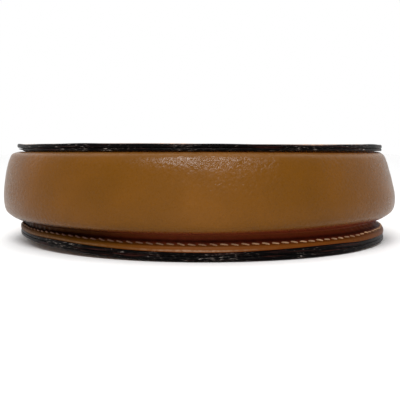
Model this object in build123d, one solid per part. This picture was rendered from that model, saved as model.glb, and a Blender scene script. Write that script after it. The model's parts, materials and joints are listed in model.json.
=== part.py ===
"""Half-moon leather money belt: a stiff leather pouch lying on its back panel, with a zipped
top and a two-piece waist belt that clips to a ring at each top corner.

Frame: millimetres, +Z up. The origin is on the resting face of the back panel, at the centre
of the pouch's round lower edge. The round edge faces -Y and the zipped top faces +Y.
"""
import math
import os

from build123d import *

# ---- Driving dimensions: pouch -------------------------------------------------------------
NECK_R = 86.0          # seam line of the round lower edge
RIM = 4.0              # how far the seam allowance stands out beyond the seam line
BULGE = 9.2            # how far the gusset swells beyond the seam line
ZIP_BULGE = 1.5        # the zipped wall stands nearly straight
TAPER = 14.0           # length of side over which the swelling dies away
SIDE = 28.0            # straight side between the round edge and the top corner
CORNER_R = 14.0        # top corners, on the seam line
LEATHER = 1.4          # gusset leather
BACK_PLY = 1.8
STIFFENER_PLY = 1.7
FRONT_PLY = 1.9
FLANGE_LOW = 0.9       # edge thickness of the gusset's lower, turned allowance
FLANGE_HIGH = 1.2      # the same at the front panel
TRIM = 0.4             # how far the front edge is trimmed back from the back edge
PLY_STEP = 0.2         # small step between one layer's edge and the next
THICKNESS = 45.7       # whole pouch, back face to front face
CREASE_RISE = 5.5      # how far the turned allowance climbs from its edge to the crease
CLOTH = 0.6            # lining cloth
SHOULDER_LOW = 6.5     # height of the swelling's round lower shoulder
LEAN_POWER = 1.6       # how the wall leans in above it: 2 would be an ellipse
POCKET = (104.0, 62.0, 0.8)
POCKET_Y = -12.0

TOP_Y = SIDE + CORNER_R
CORNER_X = NECK_R - CORNER_R
Z_FLANGE = BACK_PLY + STIFFENER_PLY
Z_CREASE = Z_FLANGE + FLANGE_LOW + CREASE_RISE
Z_FRONT = THICKNESS - FRONT_PLY
Z_CEILING = Z_FRONT - FLANGE_HIGH

# ---- Driving dimensions: thread ------------------------------------------------------------
STITCH = 4.2
THREAD_R = 0.4
STITCH_LENGTH = 3.2
BACK_SEAM = 2.2        # stitch line, outwards from the seam line
FRONT_SEAM = 1.2
THREAD_CLEAR = 0.03

# ---- Driving dimensions: zip ---------------------------------------------------------------
ZIP_Z = 22.75
WINDOW_LENGTH = 134.0
WINDOW_WIDTH = 12.0
TAPE_WIDTH = 8.5
TAPE_LENGTH = 144.0
TAPE_GRIP = 1.2        # how far each tooth grips the tape's edge
TAPE_SET_BACK = 0.85   # tape's mid-plane, inside the zipped wall's seam line
TOOTH_PITCH = 3.1
TOOTH_LENGTH = 1.3     # along the chain
TOOTH_REACH = 3.3      # across the chain
TOOTH_OVERLAP = 1.0    # how far the two rows interlock
TOOTH_DEPTH = 2.2
TEETH = 39
CHAIN_START = -60.0
SLIDER_X = 57.0
SLIDER_LENGTH = 10.0
SLIDER_WIDTH = 9.0
SLIDER_PLATE = 1.2
SLIDER_GAP = 0.3
ARCH_CLEAR = 3.1
PULL_BAR_R = 0.6
PULL_LENGTH = 10.0
PULL_WIDTH = 7.0
TAG_LENGTH = 16.0
TAG_WIDTH = 8.0
TAG_LAYER = 1.0
ARM_WIDTH = 1.4
END_BAR = 1.6          # width of the pull's flat end bar
STOP_LENGTH = 2.2
STOP_THICK = 0.8
STOP_GAP = 0.4
LIP_LENGTH = 5.0       # the slider's lips over the tapes
LIP_THICK = 0.7
ARCH_WIDTH = 1.8
ARCH_THICK = 0.9
ARCH_POST = 1.2
ARCH_SPAN = 7.8

# ---- Driving dimensions: rings, hooks and belt ---------------------------------------------
WIRE_R = 1.6
WIRE_BEND = 2.4        # corner radius of a ring, on the wire's centre line
RUNNING = 0.08         # radial clearance of a loop on its bar
TAB_LAYER = 1.6
TAB_CLEAR = 0.05       # between the tab and the pouch's wall
TAB_WIDTH = 20.0
TAB_Z = 21.6
TAB_START = TAPER + 0.6
TAB_RIVET_Y = TAB_START + 5.4
RING_INNER = 22.0
RING_REACH = 14.0      # from one bar of the ring to the other
RING_Y = 50.0
BELT_WIDTH = 28.0
BELT_Z = BELT_WIDTH / 2 + 0.2      # mid-height of the belt, which stands on its edge
NARROW = 18.0
STRAP = 2.2
EYE_INNER = 19.0
HOOK_THICK = 4.0
HOOK_SLOT_R = 3.5
HOOK_WALL = 2.6
HOOK_SLOT_END = 8.0
HOOK_SEAT = WIRE_R + 0.3            # slot wall's distance from the middle of the ring's bar
HOOK_NECK = 5.0
EYE_NEAR = 18.6
EYE_FAR = 25.6
FOLD = 26.4            # length of each folded strap end
LEAD = 3.5             # how far the full-width strap laps over the narrow folded end
COIL_R = 34.0
COIL_STEP = 2.9        # how much each half turn closes in
COIL_HALVES = 5
WIDE_HALVES = 2        # half turns that keep the full belt width
HOLE_R = 2.0
HOLES = 7
HOLE_STEP_DEG = 48.0
FIRST_HOLE_DEG = 24.0  # from the tongue's tip, round the coil
TURN_R = 17.1
RUN_END_X = 14.0
LOOP_R = 10.0
BUCKLE_X = 64.0
BUCKLE_FOLD = 20.0
BUCKLE_LENGTH = 20.0
PRONG_R = 1.3
PRONG_EYE = 1.4        # metal round the prong's eye
PRONG_CLEAR = 0.1      # between the prong's tip and the bar that it rests on
KEEPER_THICK = 1.4
KEEPER_WIDTH = 8.0
KEEPER_ROOM = 3.2      # room for the tongue over the strap
KEEPER_SLACK = 0.4
KEEPER_FIXED_X = -39.5
KEEPER_SLIDING_X = -28.0
RIVET_POST_R = 1.5
RIVET_CAP_R = 3.5
RIVET_CAP = 1.1
HOLE_PLAY = 0.05
PUNCH_PLAY = 1.6       # keeps a punched hole's cutter clear of the next turn of the coil
PRONG_SLOT = (16.0, 16.0, 2 * PRONG_R + 1.0)
PRONG_SLOT_SHIFT = -1.5
BUCKLE_RIVET_X = -BUCKLE_X + 14.0

TAB_X = NECK_R + ZIP_BULGE + TAB_CLEAR + TAB_LAYER     # plane between the tab's two layers
HOOK_Y = RING_Y + RING_REACH
BELT_Y = HOOK_Y + EYE_FAR
BELT_X = TAB_X + STRAP / 2
COIL_Y = BELT_Y + FOLD
SLOPE = math.atan2(CREASE_RISE, RIM)     # of the turned allowance that carries the back seam
BACK_SEAM_Z = Z_CREASE - BACK_SEAM * math.tan(SLOPE) + (THREAD_R + THREAD_CLEAR) / math.cos(SLOPE)


# ---- Outlines and sections -----------------------------------------------------------------
def moon_face(grow):
    """The pouch's outline, grown outwards from the seam line."""
    r, c, top = NECK_R + grow, CORNER_R + grow, TOP_Y + grow
    edges = [
        CenterArc((0, 0), r, 180, 180),
        Line((r, 0), (r, SIDE)),
        CenterArc((CORNER_X, SIDE), c, 0, 90),
        Line((CORNER_X, top), (-CORNER_X, top)),
        CenterArc((-CORNER_X, SIDE), c, 90, 90),
        Line((-r, SIDE), (-r, 0)),
    ]
    return make_face(edges)


def moon_plate(grow, z, thickness):
    return Pos(0, 0, z) * extrude(moon_face(grow), thickness)


def wall_line(inset, bulge, steps=8):
    """(offset from the seam line, height) points of the swollen wall, bottom to top."""
    low, high = Z_CREASE + inset, Z_CEILING - inset
    lean = high - low - SHOULDER_LOW
    points = []
    for i in range(steps + 1):
        a = math.radians(90 * i / steps)
        points.append((-inset + bulge * math.sin(a), low + SHOULDER_LOW * (1 - math.cos(a))))
    for i in range(1, steps + 1):
        rise = 1 - (1 - i / steps) ** 2
        reach = bulge * math.sqrt(1 - rise**LEAN_POWER)
        points.append((-inset + reach, low + SHOULDER_LOW + lean * rise))
    return points


def wall_section(bulge, start):
    """Cross-section of a gusset with both seam allowances, from `start` outwards on local X."""
    outer = [(RIM, Z_FLANGE), (RIM, Z_FLANGE + FLANGE_LOW)]
    outer += wall_line(0.0, bulge)
    outer += [(RIM - TRIM, Z_CEILING), (RIM - TRIM, Z_FRONT)]
    inner = [(-LEATHER, Z_FRONT)]
    inner += reversed(wall_line(LEATHER, bulge))
    inner += [(-LEATHER, Z_FLANGE)]
    return [(start + x, z) for x, z in outer + inner]


def section_face(plane, bulge, start):
    return plane * make_face(Polyline(*wall_section(bulge, start), close=True))


# ---- Pouch ---------------------------------------------------------------------------------
def gusset():
    upright = Plane(origin=(0, 0, 0), x_dir=(1, 0, 0), z_dir=(0, -1, 0))
    ring = revolve(section_face(upright, BULGE, NECK_R), Axis.Z, -180)
    end = Plane(origin=(0, TAPER, 0), x_dir=(1, 0, 0), z_dir=(0, -1, 0))
    dying = section_face(end, ZIP_BULGE, NECK_R)
    side = loft([section_face(upright, BULGE, NECK_R), dying], ruled=True)
    side += extrude(dying, TAPER - SIDE)
    return ring + side + mirror(side, Plane.YZ) - tab_holes()


def zip_gusset():
    across = Plane(origin=(-CORNER_X, SIDE, 0), x_dir=(0, 1, 0), z_dir=(1, 0, 0))
    top = extrude(section_face(across, ZIP_BULGE, CORNER_R), 2 * CORNER_X)
    corner_plane = Plane(origin=(CORNER_X, SIDE, 0), x_dir=(1, 0, 0), z_dir=(0, -1, 0))
    corner_axis = Axis((CORNER_X, SIDE, 0), (0, 0, 1))
    corner = revolve(section_face(corner_plane, ZIP_BULGE, CORNER_R), corner_axis, 90)
    window = Pos(0, TOP_Y, ZIP_Z) * Box(WINDOW_LENGTH, 2 * RIM, WINDOW_WIDTH)
    window = fillet(window.edges().filter_by(Axis.Y), WINDOW_WIDTH / 2 - 0.5)
    return top + corner + mirror(corner, Plane.YZ) - window


def lining_gusset():
    """Cloth wall inside the leather gusset, open at the zip."""
    wall = moon_face(-LEATHER - CLOTH) - moon_face(-LEATHER - 2 * CLOTH)
    wall = Pos(0, 0, Z_FLANGE + CLOTH) * extrude(wall, Z_FRONT - Z_FLANGE - 2 * CLOTH)
    opening = Pos(0, TOP_Y, ZIP_Z) * Box(TAPE_LENGTH + 4, CORNER_R, 2 * TAPE_WIDTH + 4)
    return wall - opening


def card_pocket():
    """Flat patch pocket on the back lining, drawn closed and empty."""
    return Pos(0, POCKET_Y, Z_FLANGE + CLOTH + POCKET[2] / 2) * Box(*POCKET)


def tab_holes():
    hole = rivet_hole(TAB_X, TAB_RIVET_Y, TAB_Z)
    return hole + mirror(hole, Plane.YZ)


def seam_places(grow):
    """(x, y, heading in degrees) of each stitch along a line outside the seam line."""
    r, c = NECK_R + grow, CORNER_R + grow
    places = []
    count = round(math.pi * r / STITCH)
    for i in range(count):
        a = 180 + 180 * (i + 0.5) / count
        places.append((r * math.cos(math.radians(a)), r * math.sin(math.radians(a)), a + 90))
    count = round(SIDE / STITCH)
    for i in range(count):
        y = SIDE * (i + 0.5) / count
        places += [(r, y, 90), (-r, y, 90)]
    count = round(math.pi / 2 * c / STITCH)
    for i in range(count):
        a = math.radians(90 * (i + 0.5) / count)
        x, y = CORNER_X + c * math.cos(a), SIDE + c * math.sin(a)
        places += [(x, y, math.degrees(a) + 90), (-x, y, 90 - math.degrees(a))]
    count = round(2 * CORNER_X / STITCH)
    for i in range(count):
        places.append((-CORNER_X + 2 * CORNER_X * (i + 0.5) / count, TOP_Y + grow, 0))
    return places


def seam_thread(grow, z):
    lying = Rot(0, 90, 0) * Cylinder(THREAD_R, STITCH_LENGTH)
    return Compound(
        children=[Pos(x, y, z) * Rot(0, 0, heading) * lying for x, y, heading in seam_places(grow)]
    )


# ---- Zip -----------------------------------------------------------------------------------
TAPE_Y = TOP_Y - TAPE_SET_BACK
TAPE_EDGE = TOOTH_REACH - TOOTH_OVERLAP / 2 - TAPE_GRIP    # tape edge from the chain's middle
TEETH_OUT = TAPE_Y + TOOTH_DEPTH / 2
CLOSED_STOP_X = SLIDER_X + SLIDER_LENGTH / 2 + STOP_GAP + STOP_LENGTH / 2
OPEN_STOP_X = CHAIN_START - TOOTH_LENGTH / 2 - STOP_GAP - STOP_LENGTH / 2
PLATE_Y = TEETH_OUT + SLIDER_GAP + SLIDER_PLATE / 2
ARCH_Y = PLATE_Y + SLIDER_PLATE / 2
PULL_Y = ARCH_Y + ARCH_CLEAR / 2


def zip_tape(side):
    """side is +1 for the tape next to the front panel and -1 for the one next to the back."""
    z = ZIP_Z + side * (TAPE_EDGE + TAPE_WIDTH / 2)
    return Pos(0, TAPE_Y, z) * Box(TAPE_LENGTH, CLOTH, TAPE_WIDTH)


def zip_teeth(side):
    """One row of teeth, each with a slot that grips the tape's edge."""
    shift = 0.0 if side > 0 else TOOTH_PITCH / 2
    middle = TOOTH_REACH / 2 - TOOTH_OVERLAP / 2
    z = ZIP_Z + side * middle
    tooth = Box(TOOTH_LENGTH, TOOTH_DEPTH, TOOTH_REACH)
    slot = Pos(0, 0, side * (TAPE_EDGE + TAPE_GRIP - middle))
    tooth -= slot * Box(TOOTH_LENGTH + 1, CLOTH, 2 * TAPE_GRIP)
    row = []
    for i in range(TEETH):
        row.append(Pos(CHAIN_START + shift + i * TOOTH_PITCH, TAPE_Y, z) * tooth)
    return Compound(children=row)


def zip_stops():
    """Two end stops beyond the closed end and one bar stop across the open end."""
    stops = []
    for z_side in (1, -1):
        for y_side in (1, -1):
            y = TAPE_Y + y_side * (CLOTH / 2 + STOP_THICK / 2)
            place = Pos(CLOSED_STOP_X, y, ZIP_Z + z_side * 3.0)
            stops.append(place * Box(STOP_LENGTH, STOP_THICK, 2.4))
    bar = Box(STOP_LENGTH, TOOTH_DEPTH + 2 * STOP_THICK, 2 * TAPE_EDGE + 3.0)
    for side in (1, -1):
        bar -= Pos(0, 0, side * (TAPE_EDGE + 2.0)) * Box(STOP_LENGTH + 1, CLOTH, 4.0)
    stops.append(Pos(OPEN_STOP_X, TAPE_Y, ZIP_Z) * bar)
    return Compound(children=stops)


def slider_plate(y):
    half, tail = SLIDER_WIDTH / 2, SLIDER_WIDTH / 2 - 1.2
    length = SLIDER_LENGTH / 2
    outline = Polyline(
        (-length, -tail), (0, -half), (length, -half), (length, half), (0, half), (-length, tail),
        close=True,
    )
    plane = Plane(origin=(SLIDER_X, y + SLIDER_PLATE / 2, ZIP_Z), x_dir=(1, 0, 0), z_dir=(0, 1, 0))
    return extrude(plane * make_face(outline), -SLIDER_PLATE)


def zip_slider():
    """Two plates either side of the chain, with lips over the tape and an arch for the pull."""
    inner_y = TAPE_Y - TOOTH_DEPTH / 2 - SLIDER_GAP - SLIDER_PLATE / 2
    outer, inner = slider_plate(PLATE_Y), slider_plate(inner_y)
    lip = TOOTH_DEPTH / 2 - CLOTH / 2
    lip_x = SLIDER_X + SLIDER_LENGTH / 2 - LIP_LENGTH / 2
    for side in (1, -1):
        z = ZIP_Z + side * (SLIDER_WIDTH / 2 - LIP_THICK / 2)
        bar = Box(LIP_LENGTH, lip, LIP_THICK)
        outer += Pos(lip_x, PLATE_Y - SLIDER_PLATE / 2 - lip / 2, z) * bar
        inner += Pos(lip_x, inner_y + SLIDER_PLATE / 2 + lip / 2, z) * bar
        post_x = SLIDER_X + side * (ARCH_SPAN - ARCH_POST) / 2
        outer += Pos(post_x, PULL_Y, ZIP_Z) * Box(ARCH_POST, ARCH_CLEAR, ARCH_WIDTH)
    crown = Pos(SLIDER_X, ARCH_Y + ARCH_CLEAR + ARCH_THICK / 2, ZIP_Z)
    outer += crown * Box(ARCH_SPAN, ARCH_THICK, ARCH_WIDTH)
    return Compound(children=[outer, inner])


END_BAR_X = SLIDER_X - PULL_LENGTH + END_BAR / 4


def zip_pull():
    """Flat metal loop: a thin bar under the slider's arch, two arms and a wide end bar."""
    loop = Pos(SLIDER_X, PULL_Y, ZIP_Z) * Cylinder(PULL_BAR_R, PULL_WIDTH)
    for side in (1, -1):
        z = ZIP_Z + side * (PULL_WIDTH - ARM_WIDTH) / 2
        arm = Box(PULL_LENGTH, 2 * PULL_BAR_R, ARM_WIDTH)
        loop += Pos(SLIDER_X - PULL_LENGTH / 2, PULL_Y, z) * arm
    return loop + Pos(END_BAR_X, PULL_Y, ZIP_Z) * Box(END_BAR, 2 * PULL_BAR_R, PULL_WIDTH)


TAG_SLACK = 0.2        # play of the tag's fold round the end bar
TAG_NECK = 8.0
TAG_NECK_WIDTH = PULL_WIDTH - 2 * ARM_WIDTH - 0.3
BLADE_START = END_BAR_X - 5.0
TAG_RIVET_X = BLADE_START - 5.0
TAG_RIVET_R = 1.0
TAG_CAP = 0.6


def zip_tag():
    """Leather tag folded round the pull's end bar."""
    eye = Box(END_BAR + TAG_SLACK, 2 * PULL_BAR_R + TAG_SLACK / 2, PULL_WIDTH)
    neck = Box(TAG_NECK, 2 * TAG_LAYER + 2 * PULL_BAR_R + TAG_SLACK / 2, TAG_NECK_WIDTH)
    tag = Pos(END_BAR_X + END_BAR - TAG_NECK / 2, PULL_Y, ZIP_Z) * neck
    blade = Box(TAG_LENGTH, 2 * TAG_LAYER, TAG_WIDTH)
    blade = Pos(BLADE_START - TAG_LENGTH / 2, PULL_Y, ZIP_Z) * blade
    tag += fillet(blade.edges().filter_by(Axis.Y).sort_by(Axis.X)[:2], 3.0)
    hole = Rot(90, 0, 0) * Cylinder(TAG_RIVET_R + HOLE_PLAY, TAG_WIDTH)
    return tag - Pos(END_BAR_X, PULL_Y, ZIP_Z) * eye - Pos(TAG_RIVET_X, PULL_Y, ZIP_Z) * hole


def tag_rivet():
    post = Rot(90, 0, 0) * Cylinder(TAG_RIVET_R, 2 * TAG_LAYER)
    cap = Rot(90, 0, 0) * Cylinder(2 * TAG_RIVET_R, TAG_CAP)
    out = TAG_LAYER + TAG_CAP / 2
    rivet = post + Pos(0, out, 0) * cap + Pos(0, -out, 0) * cap
    return Pos(TAG_RIVET_X, PULL_Y, ZIP_Z) * rivet


# ---- Tabs and rings: modelled on +X, mirrored for the other side ---------------------------
def upright_cylinder(x, y, z, radius, height):
    return Pos(x, y, z) * Cylinder(radius, height)


def rivet(x, y, z, grip):
    """Double-cap rivet along X, centred on the leather it grips."""
    turn = Pos(x, y, z) * Rot(0, 90, 0)
    out = grip / 2 + RIVET_CAP / 2
    return turn * (
        Cylinder(RIVET_POST_R, grip)
        + Pos(0, 0, out) * Cylinder(RIVET_CAP_R, RIVET_CAP)
        + Pos(0, 0, -out) * Cylinder(RIVET_CAP_R, RIVET_CAP)
    )


def rivet_hole(x, y, z):
    return Pos(x, y, z) * Rot(0, 90, 0) * Cylinder(RIVET_POST_R + HOLE_PLAY, 24)


def tab():
    """Leather strip folded round the ring's inner bar and riveted to the wall."""
    length = RING_Y - TAB_START
    strip = Pos(TAB_X, TAB_START + length / 2, TAB_Z) * Box(2 * TAB_LAYER, length, TAB_WIDTH)
    eye = upright_cylinder(TAB_X, RING_Y, TAB_Z, WIRE_R + RUNNING + TAB_LAYER, TAB_WIDTH)
    bore = upright_cylinder(TAB_X, RING_Y, TAB_Z, WIRE_R + RUNNING, TAB_WIDTH + 2)
    return strip + eye - bore - rivet_hole(TAB_X, TAB_RIVET_Y, TAB_Z)


def tab_rivet():
    """Its inner cap sits on the inside of the gusset."""
    inside = NECK_R + ZIP_BULGE - LEATHER - 0.2
    outside = TAB_X + TAB_LAYER
    return rivet((inside + outside) / 2, TAB_RIVET_Y, TAB_Z, outside - inside)


def wire_loop(x, y_near, y_far, z, inner):
    """Rectangular ring of round wire in an upright plane, given by its two bars."""
    reach, height = y_far - y_near, inner + 2 * WIRE_R
    plane = Plane(origin=(x, (y_near + y_far) / 2, z), x_dir=(0, 1, 0), z_dir=(1, 0, 0))
    path = plane * RectangleRounded(reach, height, WIRE_BEND).wire()
    start = path.position_at(0)
    section = Plane(origin=start, z_dir=path.tangent_at(0)) * Circle(WIRE_R)
    return sweep(section, path=path)


def ring():
    return wire_loop(TAB_X, RING_Y, HOOK_Y, TAB_Z, RING_INNER)


# ---- Snap hooks ----------------------------------------------------------------------------
GATE_LOW, GATE_HIGH = 3.4, 10.0    # the hook's mouth, along the hook
GATE_X = HOOK_SLOT_R + HOOK_WALL / 2
GATE_WIDTH = 1.6
GATE_CLEAR = 0.3
GATE_PIN_Y = GATE_HIGH + 1.0
GATE_PIN_R = 0.8
GATE_SWING = 0.3       # extra room for the tongue's heel as it turns
TAIL_LENGTH = 2.4
TAIL_THICK = 1.8
SLOT_START = HOOK_SLOT_R - HOOK_SEAT


def capsule(radius, height):
    """Upright slab with round ends, spanning the hook's slot."""
    middle, length = (SLOT_START + HOOK_SLOT_END) / 2, HOOK_SLOT_END - SLOT_START
    slab = Pos(0, middle, 0) * Box(2 * radius, length, height)
    return slab + Pos(0, SLOT_START, 0) * Cylinder(radius, height) + Pos(
        0, HOOK_SLOT_END, 0
    ) * Cylinder(radius, height)


def hook():
    """Cast hook with its eye for the belt; the gap for the gate is on the outer side."""
    body = capsule(HOOK_SLOT_R + HOOK_WALL, HOOK_THICK) - capsule(HOOK_SLOT_R, HOOK_THICK + 2)
    mouth = Box(HOOK_WALL + 1.2, GATE_HIGH - GATE_LOW, HOOK_THICK + 2)
    body -= Pos(GATE_X, (GATE_HIGH + GATE_LOW) / 2, 0) * mouth
    neck_start = HOOK_SLOT_END + HOOK_SLOT_R + 0.6
    neck = Box(HOOK_NECK, EYE_NEAR - neck_start, HOOK_THICK)
    body += Pos(0, (EYE_NEAR + neck_start) / 2, 0) * neck
    body -= Pos(GATE_X, GATE_PIN_Y, 0) * Cylinder(GATE_PIN_R + RUNNING, HOOK_THICK + 2)
    body -= Pos(GATE_X, GATE_PIN_Y - 0.4, 0) * Box(3.4, 3.0, TAIL_THICK + 2 * GATE_CLEAR)
    eye = wire_loop(TAB_X, HOOK_Y + EYE_NEAR, HOOK_Y + EYE_FAR, BELT_Z, EYE_INNER)
    return Pos(TAB_X, HOOK_Y, BELT_Z) * body + eye


def gate():
    """Sprung tongue on its pin, closing the hook's mouth."""
    pin = Pos(0, GATE_PIN_Y, 0) * Cylinder(GATE_PIN_R, HOOK_THICK)
    tail = Pos(0, GATE_PIN_Y - TAIL_LENGTH / 2, 0) * Box(GATE_WIDTH, TAIL_LENGTH, TAIL_THICK)
    length = GATE_HIGH - GATE_LOW - 2 * GATE_CLEAR - GATE_SWING
    tongue = Box(GATE_WIDTH, length, HOOK_THICK - 2 * GATE_CLEAR)
    tongue = Pos(0, (GATE_HIGH + GATE_LOW - GATE_SWING) / 2, 0) * tongue
    return Pos(TAB_X + GATE_X, HOOK_Y, BELT_Z) * (pin + tail + tongue)


# ---- Belt ----------------------------------------------------------------------------------
def ribbon(edges, width):
    """Leather strip standing on edge along a plan-view path, centred on the belt's height."""
    path = Wire(edges)
    start, heading = path.position_at(0), path.tangent_at(0)
    across = Plane(origin=start, x_dir=(0, 0, 1), z_dir=heading)
    return Pos(0, 0, BELT_Z) * sweep(across * Rectangle(width, STRAP), path=path)


def folded_end(x, y):
    """Strap end that passes round an upright bar and lies back on itself, on the -X side."""
    wrap = upright_cylinder(x, y, BELT_Z, WIRE_R + RUNNING + STRAP, NARROW)
    back = Pos(x - STRAP / 2, y + FOLD / 2, BELT_Z) * Box(STRAP, FOLD, NARROW)
    front = Pos(x + STRAP / 2, y + FOLD / 2, BELT_Z) * Box(STRAP, FOLD, NARROW)
    return wrap + back + front


BELT_RIVET_YS = (BELT_Y + 9.0, BELT_Y + 19.0)


def hook_end():
    """Leather folded round the hook's far bar on +X, with its rivet holes."""
    leather = folded_end(TAB_X, BELT_Y)
    leather -= upright_cylinder(TAB_X, BELT_Y, BELT_Z, WIRE_R + RUNNING, NARROW + 4)
    for y in BELT_RIVET_YS:
        leather -= rivet_hole(TAB_X, y, BELT_Z)
    return leather


def belt_rivets():
    return Compound(children=[rivet(TAB_X, y, BELT_Z, 2 * STRAP) for y in BELT_RIVET_YS])


def coil_centre(half):
    return (BELT_X - COIL_R - (COIL_STEP if half % 2 else 0.0), COIL_Y)


def coil_arc(half):
    radius = COIL_R - COIL_STEP * half
    return CenterArc(coil_centre(half), radius, 180 * (half % 2), 180)


def tongue_belt():
    """Long half: folded hook end, wide strap, then a narrow tongue with holes, rolled up."""
    lead = Line((BELT_X, BELT_Y + FOLD - LEAD), (BELT_X, COIL_Y))
    strap = ribbon([lead] + [coil_arc(i) for i in range(WIDE_HALVES)], BELT_WIDTH)
    strap += ribbon([coil_arc(i) for i in range(WIDE_HALVES, COIL_HALVES)], NARROW)
    strap += hook_end()
    angle = 180.0 * COIL_HALVES - FIRST_HOLE_DEG
    for _ in range(HOLES):
        half = int(angle // 180)
        cx, cy = coil_centre(half)
        radius = COIL_R - COIL_STEP * half
        punch = Pos(cx, cy, BELT_Z) * Rot(0, 0, angle) * Pos(radius, 0, 0) * Rot(0, 90, 0)
        strap -= punch * Cylinder(HOLE_R, STRAP + PUNCH_PLAY)
        angle -= HOLE_STEP_DEG
    return strap


RUN_Y = COIL_Y + TURN_R
BACK_RUN_Y = RUN_Y + 2 * LOOP_R
BUCKLE_Y = BACK_RUN_Y - STRAP / 2      # plane between the two layers at the buckle


def buckle_belt():
    """Short half: folded hook end, wide strap, one fold back, then the buckle end."""
    lead = Line((-BELT_X, BELT_Y + FOLD - LEAD), (-BELT_X, COIL_Y))
    turn = CenterArc((-BELT_X + TURN_R, COIL_Y), TURN_R, 180, -90)
    run = Line((-BELT_X + TURN_R, RUN_Y), (-RUN_END_X, RUN_Y))
    loop = CenterArc((-RUN_END_X, RUN_Y + LOOP_R), LOOP_R, -90, 180)
    strap = ribbon([lead, turn, run, loop], BELT_WIDTH)
    back = Line((-RUN_END_X, BACK_RUN_Y), (-BUCKLE_X, BACK_RUN_Y))
    strap += ribbon([back], NARROW)
    fold_x = -BUCKLE_X + BUCKLE_FOLD / 2
    strap += Pos(fold_x, BUCKLE_Y - STRAP / 2, BELT_Z) * Box(BUCKLE_FOLD, STRAP, NARROW)
    strap += upright_cylinder(-BUCKLE_X, BUCKLE_Y, BELT_Z, WIRE_R + RUNNING + STRAP, NARROW)
    strap -= upright_cylinder(-BUCKLE_X, BUCKLE_Y, BELT_Z, WIRE_R + RUNNING, NARROW + 4)
    strap -= Pos(-BUCKLE_X + PRONG_SLOT_SHIFT, BUCKLE_Y, BELT_Z) * Box(*PRONG_SLOT)
    return strap + mirror(hook_end(), Plane.YZ) - buckle_rivet_hole()


def buckle_rivet_hole():
    turn = Pos(BUCKLE_RIVET_X, BUCKLE_Y, BELT_Z) * Rot(90, 0, 0)
    return turn * Cylinder(RIVET_POST_R + HOLE_PLAY, 12)


def buckle_rivet():
    out = STRAP + RIVET_CAP / 2
    post = Cylinder(RIVET_POST_R, 2 * STRAP)
    cap = Cylinder(RIVET_CAP_R, RIVET_CAP)
    turn = Pos(BUCKLE_RIVET_X, BUCKLE_Y, BELT_Z) * Rot(90, 0, 0)
    return turn * (post + Pos(0, 0, out) * cap + Pos(0, 0, -out) * cap)


def buckle_frame():
    plane_loop = wire_loop(0, 0, BUCKLE_LENGTH, BELT_Z, EYE_INNER)
    return Pos(-BUCKLE_X, BUCKLE_Y, 0) * Rot(0, 0, 90) * plane_loop


def buckle_prong():
    """Prong with an eye on the frame's bar; its tip rests on the outside of the far bar."""
    eye = Cylinder(WIRE_R + RUNNING + PRONG_EYE, 2 * PRONG_R)
    rest_y = WIRE_R + PRONG_R + PRONG_CLEAR
    shank = Rot(0, 90, 0) * Cylinder(PRONG_R, BUCKLE_LENGTH + 1.0)
    prong = eye + Pos(-(BUCKLE_LENGTH + 3.0) / 2, rest_y, 0) * shank
    prong -= Cylinder(WIRE_R + RUNNING, 2 * PRONG_R + 1)
    return Pos(-BUCKLE_X, BUCKLE_Y, BELT_Z) * prong


def keeper(x, slack):
    """Leather loop round the strap, with room for the tongue; slack is the gap behind it."""
    depth, height = STRAP + KEEPER_ROOM, NARROW + 2 * KEEPER_SLACK
    y = BACK_RUN_Y - STRAP / 2 - slack + depth / 2
    outer = Box(KEEPER_WIDTH, depth + 2 * KEEPER_THICK, height + 2 * KEEPER_THICK)
    return Pos(x, y, BELT_Z) * (outer - Box(KEEPER_WIDTH + 2, depth, height))


def nodes():
    right = {
        "tab": tab(), "tab_rivet": tab_rivet(), "ring": ring(), "hook": hook(), "gate": gate(),
        "belt_rivets": belt_rivets(),
    }
    made = {
        "back_panel": moon_plate(RIM, 0, BACK_PLY),
        "back_stiffener": moon_plate(RIM - PLY_STEP, BACK_PLY, STIFFENER_PLY),
        "gusset": gusset(),
        "zip_gusset": zip_gusset(),
        "front_panel": moon_plate(RIM - PLY_STEP, Z_FRONT, FRONT_PLY),
        "lining_back": moon_plate(-LEATHER - PLY_STEP, Z_FLANGE, CLOTH),
        "lining_front": moon_plate(-LEATHER - PLY_STEP, Z_FRONT - CLOTH, CLOTH),
        "lining_gusset": lining_gusset(),
        "card_pocket": card_pocket(),
        "thread_back_seam": seam_thread(BACK_SEAM, BACK_SEAM_Z),
        "thread_front_seam": seam_thread(FRONT_SEAM, THICKNESS + THREAD_R),
        "zip_tape_front": zip_tape(1),
        "zip_tape_back": zip_tape(-1),
        "zip_teeth_front": zip_teeth(1),
        "zip_teeth_back": zip_teeth(-1),
        "zip_stops": zip_stops(),
        "zip_slider": zip_slider(),
        "zip_pull": zip_pull(),
        "zip_tag": zip_tag(),
        "zip_tag_rivet": tag_rivet(),
        "belt_tongue_side": tongue_belt(),
        "belt_buckle_side": buckle_belt(),
        "buckle_frame": buckle_frame(),
        "buckle_prong": buckle_prong(),
        "buckle_rivet": buckle_rivet(),
        "keeper_fixed": keeper(KEEPER_FIXED_X, 0.0),
        "keeper_sliding": keeper(KEEPER_SLIDING_X, KEEPER_SLACK),
    }
    for name, shape in right.items():
        made[name + "_right"] = shape
        made[name + "_left"] = mirror(shape, Plane.YZ)
    return made


def main():
    os.makedirs("parts", exist_ok=True)
    for name, shape in nodes().items():
        export_step(shape, f"parts/{name}.step")


main()
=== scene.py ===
"""Looks of the half-moon leather money belt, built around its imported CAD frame.

Lengths inside this script are millimetres in the frame's axes; meshes are written in metres.
"""
import json
import math

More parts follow.
